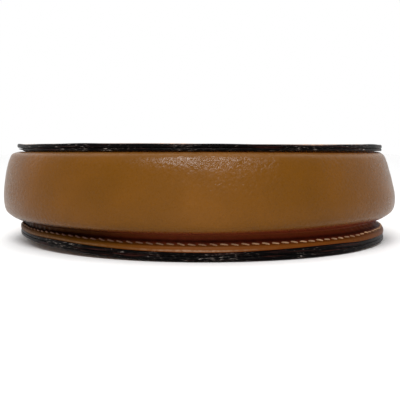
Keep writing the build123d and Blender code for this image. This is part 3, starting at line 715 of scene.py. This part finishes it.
def plate(name, replaced, rim, crown=0.0, sink=None, edge_from=1.3):
    """A sheet of leather with a modelled rim. rim runs from its lower to its upper face.

    Its middle stands crown higher than its rim. The rim's outermost edge_from is painted."""
    base = np.array([[(*(point + normal * r), z) for r, z in rim]
                     for point, normal, _, _ in STATIONS])
    if sink is not None:
        for i, station in enumerate(STATIONS):
            base[i] = sink(base[i], station)
    n, m = base.shape[:2]
    points = list(base.reshape(-1, 3))
    faces = grid_faces(n, m, close_rows=True)
    insets = (0.02, 0.05, 0.09, 0.14, 0.2, 0.28, 0.37, 0.47, 0.58, 0.7, 0.82, 0.92)
    for column in (0, m - 1):
        height = rim[column][1]
        previous = [i * m + column for i in range(n)]
        for inset in insets:
            rise = crown * smooth(inset, 0.02, 0.7)
            ring = []
            for i in range(n):
                edge = base[i, column]
                p = edge + (np.array([0.0, MIDDLE_Y, edge[2]]) - edge) * inset
                p[2] = edge[2] + (height - edge[2]) * inset + rise
                ring.append(len(points))
                points.append(p)
            for i in range(n):
                k = (i + 1) % n
                faces.append((previous[i], previous[k], ring[k], ring[i]))
            previous = ring
        middle = len(points)
        points.append(np.array([0.0, MIDDLE_Y, height + crown]))
        for i in range(n):
            faces.append((previous[i], previous[(i + 1) % n], middle))
    obj = add_piece(name, settle(points), faces, "pouch", [TAN, BLACK], [replaced])
    edge = max(r for r, _ in rim)
    for polygon in obj.data.polygons:
        if polygon.vertices[0] < n * m and polygon.vertices[1] < n * m:
            columns = [v % m for v in polygon.vertices if v < n * m]
            if all(rim[c][0] > edge - edge_from for c in columns):
                polygon.material_index = 1


def round_rim(reach, low, high, corner, inner):
    """Rim profile with rounded corners, from the lower face round to the upper face."""
    points = [(inner, low)]
    for start, height in ((-90, low + corner), (0, high - corner)):
        for i in range(6):
            a = math.radians(start + 18 * i)
            points.append((reach - corner + corner * math.cos(a), height + corner * math.sin(a)))
    return points + [(inner, high)]


def front_rim():
    """Rim of the front panel, with the channel that its stitches lie in."""
    reach = FRONT_HIGH[0] - NECK_R
    rim = round_rim(reach, Z_FRONT, Z_TOP, 0.7, 2.6)[:-1]
    rim += [(2.6, Z_TOP + 0.02), (2.0, Z_TOP - 0.06), (1.6, Z_TOP - 0.34),
            (1.2, Z_TOP - 0.46), (0.8, Z_TOP - 0.34), (0.4, Z_TOP - 0.06), (-0.4, Z_TOP + 0.04),
            (-2.0, Z_TOP + 0.1)]
    rim[0] = (-2.0, Z_FRONT)
    return rim


def sag(bend):
    """How far the front panel's rim has worn down, most at the right of the middle."""
    return 0.55 * math.exp(-((bend - 25) / 28) ** 2)


def flare(ring, station):
    """The front panel's rim turns up a little at the left end, and is worn thin elsewhere."""
    bend = station[3]
    tip = math.exp(-((bend + 77) / 8) ** 2)
    wave = 0.10 * math.sin(bend / 7) + 0.06 * math.sin(bend / 2.9)
    out = ring.copy()
    for p in out:
        outer = smooth(rim_offset(p[0], p[1]), -1, 3)
        p[2] += outer * (0.35 * tip + wave) - sag(bend) * smooth(p[2], Z_FRONT, Z_TOP)
    return out


plate("back_panel_leather", "back_panel",
      round_rim(RIM, 0.0, STIFF_LOW[2], 0.45, -1.0))
plate("back_inner_ply", "back_stiffener",
      round_rim(STIFF_HIGH[0] - NECK_R, STIFF_LOW[2], STIFF_HIGH[2], 0.3, -1.0))
plate("front_panel_leather", "front_panel", front_rim(),
      crown=0.12, sink=flare, edge_from=0.72)


# ---- Stitches ----
def stitch_mesh(centres, alongs, outs, length, radius, slant):
    """Short twisted stitches whose ends dive into the leather."""
    rings, around = 9, 7
    points, faces = [], []
    for number, (centre, along, out) in enumerate(zip(centres, alongs, outs)):
        along, out = Vector(along).normalized(), Vector(out).normalized()
        across = out.cross(along)
        turn = slant + 0.07 * math.sin(number * 2.3)
        shift = 0.07 * math.sin(number * 1.7 + 0.4)
        centre = Vector(centre) + across * shift + out * (0.06 * math.sin(number * 3.1))
        along = (along * math.cos(turn) + across * math.sin(turn)).normalized()
        across = out.cross(along)
        start = len(points)
        for i in range(rings):
            t = 2 * i / (rings - 1) - 1
            thick = radius * (1 - 0.45 * abs(t) ** 3)
            drop = -0.9 * radius * abs(t) ** 4
            middle = centre + along * (length / 2 * t) + out * drop
            for k in range(around):
                a = 2 * math.pi * k / around + 2.4 * t
                twist = thick * (1 + 0.16 * math.cos(2 * (a - 4.8 * t)))
                offset = across * (twist * math.cos(a)) + out * (0.8 * twist * math.sin(a))
                points.append(tuple(middle + offset))
        faces += tube_faces(rings, around, start)
    return points, faces


def spaced(path, pitch):
    """Places and directions about every pitch along a closed polyline."""
    loop = np.vstack([path, path[:1]])
    gaps = np.linalg.norm(np.diff(loop, axis=0), axis=1)
    run = np.concatenate([[0], np.cumsum(gaps)])
    count = round(run[-1] / pitch)
    where = (np.arange(count) + 0.5) * run[-1] / count
    step = 0.4
    at, ahead = (np.stack([np.interp(place, run, loop[:, k]) for k in range(3)], 1)
                 for place in (where, (where + step) % run[-1]))
    return at, ahead - at


def seam(name, replaced, r, z, lean, slant, sunk, darker_left=0.0, drop=lambda bend: 0.0):
    """One row of stitches round the pouch. lean is how far the stitches face outwards.

    drop(bend) lowers the row, and the last argument makes its stitches darker towards the left."""
    path = settle([(*(p + n * r), z - drop(bend)) for p, n, _, bend in STATIONS])
    at, along = spaced(path, STITCH)
    outs = []
    for p in at:
        normal = min(STATIONS, key=lambda s: math.dist(s[0] + s[1] * r, p[:2]))[1]
        outs.append((*(normal * math.sin(lean)), math.cos(lean)))
    at = [Vector(p) - Vector(o) * sunk for p, o in zip(at, outs)]
    points, faces = stitch_mesh(at, along, outs, 3.3, 0.37, slant)
    obj = add_piece(name, points, faces, "pouch", [THREAD], [replaced])
    x = np.array(points)[:, 0]
    # The stitches are made darker towards the left.
    paint(obj, "darker_left", darker_left * (1 - smooth(x, -60, 60)) * (0.6 + 0.4 * smooth(x, -78, -56)))


seam("back_seam_stitches", "thread_back_seam", 2.86, 6.6, lean=math.radians(58),
     slant=math.radians(-11), sunk=-0.05, darker_left=0.95)
seam("front_seam_stitches", "thread_front_seam", FRONT_SEAM, Z_TOP - 0.1, lean=0.0,
     slant=math.radians(-9), sunk=0.12, drop=sag)


# ---- Zip ----
WINDOW = (67.0, 6.0, 5.5)         # half length, half width and corner radius
WINDOW_SEAM = (69.6, 8.6, 7.5)


def wall_y(z):
    """Y of the stitches on the zipped wall's skin at a height."""
    curve = CURVES["straight"]
    order = np.argsort(curve[:, 1])
    return TOP_Y + np.interp(z, curve[order, 1], curve[order, 0]) - 0.08


def window_stitches():
    """The row of stitches round the zip's window."""
    path = np.array([(x, wall_y(ZIP_Z + z), ZIP_Z + z) for x, z in stadium(*WINDOW_SEAM)])
    dense = even(np.vstack([path, path[:1]]), 400)[:-1]
    for p in dense:
        p[1] = wall_y(p[2])
    at, along = spaced(dense, 3.6)
    pressed = (at[:, 0] < -60) & (np.abs(at[:, 2] - ZIP_Z) < 3.6)
    at[pressed, 1] -= 0.19              # worn down where the zip's tag passes over them
    points, faces = stitch_mesh(at, along, [(0, 1, 0)] * len(at), 2.8, 0.36, math.radians(9))
    add_piece("zip_window_stitches", points, faces, "pouch", [THREAD])


def zip_tape(node, side):
    """A woven tape with a corded edge at the chain and slight ripples."""
    low, high = node_box(node)
    middle = (low[1] + high[1]) / 2
    half = (high[1] - low[1]) / 2
    inner, outer = (low[2], high[2]) if side > 0 else (high[2], low[2])
    xs = np.linspace(low[0], high[0], 180)
    across = 12
    points = []
    for x in xs:
        section = []
        for t in np.linspace(0, 1, across):
            cord = 0.16 * math.exp(-((t - 0.04) / 0.07) ** 2)
            ripple = 0.05 * math.sin(x / 2.3 + side) * t
            section.append((inner + (outer - inner) * t, half + cord, ripple))
        points += [(x, middle + h + w, z) for z, h, w in section]
        points += [(x, middle - h + w, z) for z, h, w in reversed(section)]
    faces = tube_faces(len(xs), 2 * across)
    add_piece(node + "_woven", points, faces, "pouch", [TAPE], [node], sharp=60)


cut_through(ZIP_WALL, stadium(*WINDOW), 0.0, ZIP_Z, TOP_Y - 6, TOP_Y + 8)
window_stitches()
zip_tape("zip_tape_front", 1)
zip_tape("zip_tape_back", -1)
for node, bevel, segments in (("zip_teeth_front", 0.22, 2), ("zip_teeth_back", 0.22, 2),
                              ("zip_stops", 0.2, 2), ("zip_slider", 0.28, 3),
                              ("zip_pull", 0.3, 3)):
    refine(node, [ZIP_METAL], bevel, segments)
refine("zip_tag", [TAN, BLACK], 0.3, 3, edge_axes=[(0, 0, 1), (1, 0, 0)],
       level=0.6)


# ---- Tabs, rings, hooks, gates, buckle ----
for side in ("right", "left"):
    refine(f"tab_{side}", [TAN, BLACK], 0.35, 3, edge_axes=[(0, 0, 1)])
    refine(f"ring_{side}", [BRASS], 0.2)
    refine(f"hook_{side}", [BRASS], 0.6, 3)
    refine(f"gate_{side}", [BRASS], 0.3)
refine("buckle_frame", [BRASS], 0.2)
refine("buckle_prong", [BRASS], 0.3)
for node in ("keeper_fixed", "keeper_sliding"):
    refine(node, [TAN, BLACK], 0.3, 3, edge_axes=[(1, 0, 0)])


RIVET_CAP = 1.1                   # height of the flatter cap


def rivets(node, centres, axis, inner, outer, radius=3.5):
    """Rivets with a domed cap on +axis at outer, a flatter one at -inner, and a post between."""
    axis = Vector(axis)
    side = axis.orthogonal().normalized()
    other = axis.cross(side)
    base = -inner
    profile = [(0.50, base - RIVET_CAP), (0.82, base - 0.85), (0.97, base - 0.5),
               (1.00, base - 0.2), (0.95, base), (0.42, base), (0.42, outer), (0.95, outer),
               (1.00, outer + 0.2), (0.97, outer + 0.45), (0.86, outer + 0.75),
               (0.66, outer + 0.98), (0.36, outer + 1.12)]
    profile = [(0.02, base - RIVET_CAP), *((share * radius, h) for share, h in profile),
               (0.02, outer + 1.16)]
    around = 32
    points, faces = [], []
    for centre in centres:
        faces += tube_faces(len(profile), around, len(points))
        for r, h in profile:
            for k in range(around):
                a = 2 * math.pi * k / around
                p = Vector(centre) + axis * h + (side * math.cos(a) + other * math.sin(a)) * r
                points.append(tuple(p))
    add_piece(node + "_domed", points, faces, NODES[node]["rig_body"], [BRASS],
              [node], sharp=50)


TAB_GAP = 0.05                    # between a tab's layers and the pouch
TAB_LAYER = 1.6
TAB_X = NECK_R + ZIP_BULGE + TAB_GAP + TAB_LAYER
BELT_Z = 14.2                     # height of the belt's middle
BELT_Y = 89.6                     # of the hooks' eyes, which the belt is folded round
BELT_RIVETS_Y = (98.6, 108.6)
for side, sign in (("right", 1), ("left", -1)):
    low, high = node_box(f"tab_rivet_{side}")
    middle = (low + high) / 2
    reach = max(abs(low[0]), abs(high[0]))
    depth = min(abs(low[0]), abs(high[0]))
    rivets(f"tab_rivet_{side}", [(sign * TAB_X, middle[1], middle[2])], (sign, 0, 0),
           TAB_X - depth - RIVET_CAP, reach - RIVET_CAP - TAB_X)
    rivets(f"belt_rivets_{side}", [(sign * TAB_X, y, BELT_Z) for y in BELT_RIVETS_Y],
           (sign, 0, 0), STRAP, STRAP)
rivets("buckle_rivet", [sum(node_box("buckle_rivet")) / 2], (0, 1, 0), STRAP, STRAP)
rivets("zip_tag_rivet", [sum(node_box("zip_tag_rivet")) / 2], (0, 1, 0), 0.6, 0.6, 2.0)


# ---- Belt straps ----
def arc_points(centre, radius, start, end):
    """Points of an arc in plan view, from one angle in degrees to another."""
    count = max(3, round(abs(math.radians(end - start)) * radius / 1.2))
    return [(centre[0] + radius * math.cos(math.radians(a)),
             centre[1] + radius * math.sin(math.radians(a)))
            for a in np.linspace(start, end, count)]


def line_points(a, b):
    """Points of a straight line in plan view."""
    count = max(2, round(math.dist(a, b) / 1.5))
    return [(a[0] + (b[0] - a[0]) * t, a[1] + (b[1] - a[1]) * t)
            for t in np.linspace(0, 1, count)]


EDGE_POINTS = 7                   # round each edge of the strap's section
PRESSED_LINE = 2.35               # from the strap's edge


def strap_section(half):
    """Section of a strap: rounded painted edges and a pressed line along each edge."""
    section = []
    corner = 0.62 * STRAP / 2
    upper = (half - corner - 0.5, half - 2.0, half - PRESSED_LINE, half - 2.7, half * 0.5)
    for sign in (1, -1):
        for i in range(EDGE_POINTS):
            a = math.radians(90 - 30 * i)
            section.append((sign * STRAP / 2 * math.sin(a),
                            sign * (half - corner + corner * math.cos(a))))
        for w in (*upper, 0.0, *(-w for w in reversed(upper))):
            pressed = 0.22 if abs(abs(w) - (half - PRESSED_LINE)) < 0.01 else 0.0
            section.append((-sign * (STRAP / 2 - pressed), sign * w))
    return section


def polyline(path):
    """Length of a polyline."""
    return float(np.sum(np.linalg.norm(np.diff(np.asarray(path, float), axis=0), axis=1)))


def strap(name, node, path, lead, narrowing, tip=0.0):
    """A belt strap that stands on edge along a plan-view path.

    It widens at the end of its lead and is narrow again after the run given by narrowing.
    Returns the piece and its centre line: points, run, half widths and directions."""
    path = even(np.asarray(path, float), round(polyline(path) / 1.3))
    total = polyline(path)
    run = np.linspace(0, total, len(path))
    wide = smooth(run, lead - 9.0, lead + 1.0) - smooth(run, *narrowing)
    halves = NARROW + (WIDE - NARROW) * wide
    if tip:
        close = np.clip((total - run) / tip, 0, 1)
        halves = halves * np.sqrt(np.clip(1 - (1 - close) ** 2.2, 0.02, 1))
    halves = np.maximum(halves, 3.2)
    ahead = np.gradient(path, axis=0)
    ahead /= np.linalg.norm(ahead, axis=1)[:, None]
    rings = np.array([[(x - dy * t, y + dx * t, BELT_Z + w) for t, w in strap_section(half)]
                      for (x, y), (dx, dy), half in zip(path, ahead, halves)])
    n, m = rings.shape[:2]
    obj = add_piece(name, rings.reshape(-1, 3), tube_faces(n, m),
                    NODES[node]["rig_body"], [TAN, BLACK], [node], sharp=65)
    edge_columns = {start + k for start in (0, m // 2) for k in range(EDGE_POINTS)}
    for polygon in obj.data.polygons:
        columns = [v % m for v in polygon.vertices]
        if len(columns) != 4 or all(c in edge_columns for c in columns):
            polygon.material_index = 1
    return obj, (path, run, halves, ahead)


def edge_stitches(name, body, line, start, end):
    """Rows of stitches along both edges of a strap, on its outer and inner faces."""
    path, run, halves, ahead = line
    points, faces = [], []
    for k in range(int((end - start) / STITCH)):
        s = start + (k + 0.5) * STITCH
        x, y = np.interp(s, run, path[:, 0]), np.interp(s, run, path[:, 1])
        dx, dy = np.interp(s, run, ahead[:, 0]), np.interp(s, run, ahead[:, 1])
        half = np.interp(s, run, halves)
        for face in (1, -1):
            out = (-dy * face, dx * face, 0)
            for edge in (1, -1):
                centre = (x + out[0] * (STRAP / 2 + 0.03), y + out[1] * (STRAP / 2 + 0.03),
                          BELT_Z + edge * (half - 3.4))
                p, f = stitch_mesh([centre], [(dx, dy, 0)], [out], 3.1, 0.36, math.radians(8))
                faces += [tuple(v + len(points) for v in quad) for quad in f]
                points += p
    add_piece(name, points, faces, body, [THREAD])


WRAP_R = WIRE_R + RUNNING + STRAP / 2  # of the belt's middle round a wire


def folded(x_in, x_out, bar_x, top_y):
    """Path of a strap's folded end: up one side, round the bar, and back down the other."""
    start, end = (165, 375) if x_out > 0 else (15, -195)
    return (line_points((x_in, top_y), (x_in, BELT_Y + 6.0))
            + arc_points((bar_x, BELT_Y), WRAP_R, start, end)
            + line_points((x_out, BELT_Y + 6.0), (x_out, top_y)))


BELT_X = TAB_X + STRAP / 2
WIDE, NARROW = 14.0, 9.0          # half widths of the belt
# The tongue half: its coil, which is COIL_STEP smaller after each half turn, and its holes.
COIL_R, COIL_STEP, COIL_Y = 34.0, 2.9, 116.0
COIL_HALF_TURNS = 5
HOLES, HOLE_STEP, FIRST_HOLE = 7, 48.0, 24.0    # degrees round the coil, back from the tip
PUNCH_R, PUNCH_DEPTH = 1.9, 1.9
# The buckle half: its turn, straight run and loop back, the buckle's bar and the prong's slot.
TURN_R, LOOP_R = 17.1, 10.0
RUN_END_X, BUCKLE_X = -14.0, -64.0
RUN_Y = COIL_Y + TURN_R
PRONG_SLOT = (8.0, 1.8, 1.7)      # half length, half width and corner radius


def coil_turn(half):
    """Centre and radius of one half turn of the coil."""
    centre = (BELT_X - COIL_R - (COIL_STEP if half % 2 else 0.0), COIL_Y)
    return centre, COIL_R - COIL_STEP * half


def tongue_strap():
    """The belt half that is rolled up, with the holes for the prong."""
    path = folded(TAB_X - STRAP / 2, BELT_X, TAB_X, COIL_Y)
    lead = polyline(path)
    for half in range(COIL_HALF_TURNS):
        start = 180 * (half % 2)
        path += arc_points(*coil_turn(half), start, start + 180)[1:]
    wide_end = lead + math.pi * (COIL_R + COIL_R - COIL_STEP)
    obj, line = strap("belt_tongue_leather", "belt_tongue_side", path, lead,
                      (wide_end - 12.0, wide_end + 8.0), tip=12.0)
    punch_holes(obj)
    edge_stitches("belt_tongue_stitches", "belt_tongue", line, lead + 4, wide_end - 14)


def punch_holes(obj):
    """The holes round the narrow end, counted from its tip."""
    around = 20
    points, faces = [], []
    for hole in range(HOLES):
        angle = 180.0 * COIL_HALF_TURNS - FIRST_HOLE - HOLE_STEP * hole
        (cx, cy), radius = coil_turn(int(angle // 180))
        a = math.radians(angle)
        out = Vector((math.cos(a), math.sin(a), 0))
        side = Vector((-math.sin(a), math.cos(a), 0))
        faces += tube_faces(2, around, len(points))
        for depth in (-PUNCH_DEPTH, PUNCH_DEPTH):
            for k in range(around):
                b = 2 * math.pi * k / around
                p = Vector((cx, cy, BELT_Z)) + out * (radius + depth)
                p += side * (PUNCH_R * math.cos(b)) + Vector((0, 0, PUNCH_R * math.sin(b)))
                points.append(tuple(p))
    cut(obj, points, faces)


def buckle_strap():
    """The belt half that is folded in a loop, with its end round the buckle's bar."""
    path = folded(-(TAB_X - STRAP / 2), -BELT_X, -TAB_X, COIL_Y)
    lead = polyline(path)
    path += arc_points((-BELT_X + TURN_R, COIL_Y), TURN_R, 180, 90)[1:]
    path += line_points((-BELT_X + TURN_R, RUN_Y), (RUN_END_X, RUN_Y))[1:]
    path += arc_points((RUN_END_X, RUN_Y + LOOP_R), LOOP_R, -90, 90)[1:]
    wide_end = polyline(path)
    back_y = RUN_Y + 2 * LOOP_R
    bar_y = back_y - STRAP / 2
    path += line_points((RUN_END_X, back_y), (BUCKLE_X + 5.5, back_y))[1:]
    path += arc_points((BUCKLE_X, bar_y), WRAP_R, 75, 285)
    path += line_points((BUCKLE_X + 5.5, bar_y - STRAP / 2), (BUCKLE_X + 20, bar_y - STRAP / 2))
    obj, line = strap("belt_buckle_leather", "belt_buckle_side", path, lead,
                      (wide_end - 13.0, wide_end + 1.0))
    cut_through(obj, stadium(*PRONG_SLOT), BUCKLE_X - 1.5, BELT_Z, bar_y - 8, bar_y + 8)
    edge_stitches("belt_buckle_stitches", "belt_buckle", line, lead + 4, wide_end - 10)


tongue_strap()
buckle_strap()


# ---- Lining and pocket ----
for node in ("lining_back", "lining_front", "lining_gusset", "card_pocket"):
    refine(node, [LINING], 0.12, 1)


# ---- Stage, light and camera ----
def build_stage():
    """A wide pale floor just under the object."""
    size = 8.0
    mesh = bpy.data.meshes.new("floor")
    corners = [(-size, -size, 0), (size, -size, 0), (size, size, 0), (-size, size, 0)]
    mesh.from_pydata(corners, [], [(0, 1, 2, 3)])
    n = new_material("floor_pale")
    grain = n.noise(0.002, 2.0)
    color = n.ramp(grain, [(0.0, (0.84, 0.84, 0.84, 1)), (1.0, (0.88, 0.88, 0.88, 1))])
    mesh.materials.append(n.finish(Base_Color=color, Roughness=0.95, Specular_IOR_Level=0.1))
    floor = bpy.data.objects.new("floor", mesh)
    SCENE.collection.objects.link(floor)
    floor.location.z = -0.0003


def area_light(name, place, target, size, power):
    """A rectangular light that faces its target. Places are in metres."""
    data = bpy.data.lights.new(name, "AREA")
    data.shape = "RECTANGLE"
    data.size, data.size_y = size
    data.energy = power
    light = bpy.data.objects.new(name, data)
    SCENE.collection.objects.link(light)
    light.location = place
    direction = Vector(target) - Vector(place)
    light.rotation_euler = direction.to_track_quat("-Z", "Y").to_euler()
    return light


def build_lights():
    """A pale surround, brighter behind and above the object, and a softbox over the front.

    The softbox has a small core that only adds gloss, and only to the pouch's wall."""
    SCENE.world = bpy.data.worlds.new("studio")
    n = Nodes(SCENE.world, "Background", "Generated")
    split = n.put("ShaderNodeSeparateXYZ", Vector=n.place)
    y, z = split.outputs["Y"], split.outputs["Z"]
    around = n.math("MAXIMUM", n.between(y, 0.16, 1.0, -0.1, 0.5),
                    n.between(z, 1.0, 0.0, 0.16, 0.40))
    n.finish(Color=(1, 1, 1, 1), Strength=n.math("ADD", around, n.between(z, 0.0, 1.1, 0.25)))
    area_light("softbox", (-0.07, -0.56, 0.60), (0, -0.09, 0.03), (0.36, 0.06), 4.4)
    gloss = area_light("softbox_core", (0.03, -0.55, 0.59), (0, -0.09, 0.03), (0.12, 0.05), 8.0)
    gloss.visible_diffuse = False
    lit = bpy.data.collections.new("softbox_core_receivers")
    lit.objects.link(bpy.data.objects["gusset_leather"])
    gloss.light_linking.receiver_collection = lit


def build_camera():
    """The camera that matches the photograph. Its pose and lens were fitted to the outlines."""
    data = bpy.data.cameras.new("camera")
    data.sensor_width = 36.0
    data.lens = 62.7
    camera = bpy.data.objects.new("camera", data)
    SCENE.collection.objects.link(camera)
    camera.location = (0.0002, -0.356, 0.0427)
    camera.rotation_euler = (math.radians(90 - 4.03), 0, 0)
    SCENE.camera = camera


SCENE.view_settings.view_transform = "Standard"
build_stage()
build_lights()
build_camera()
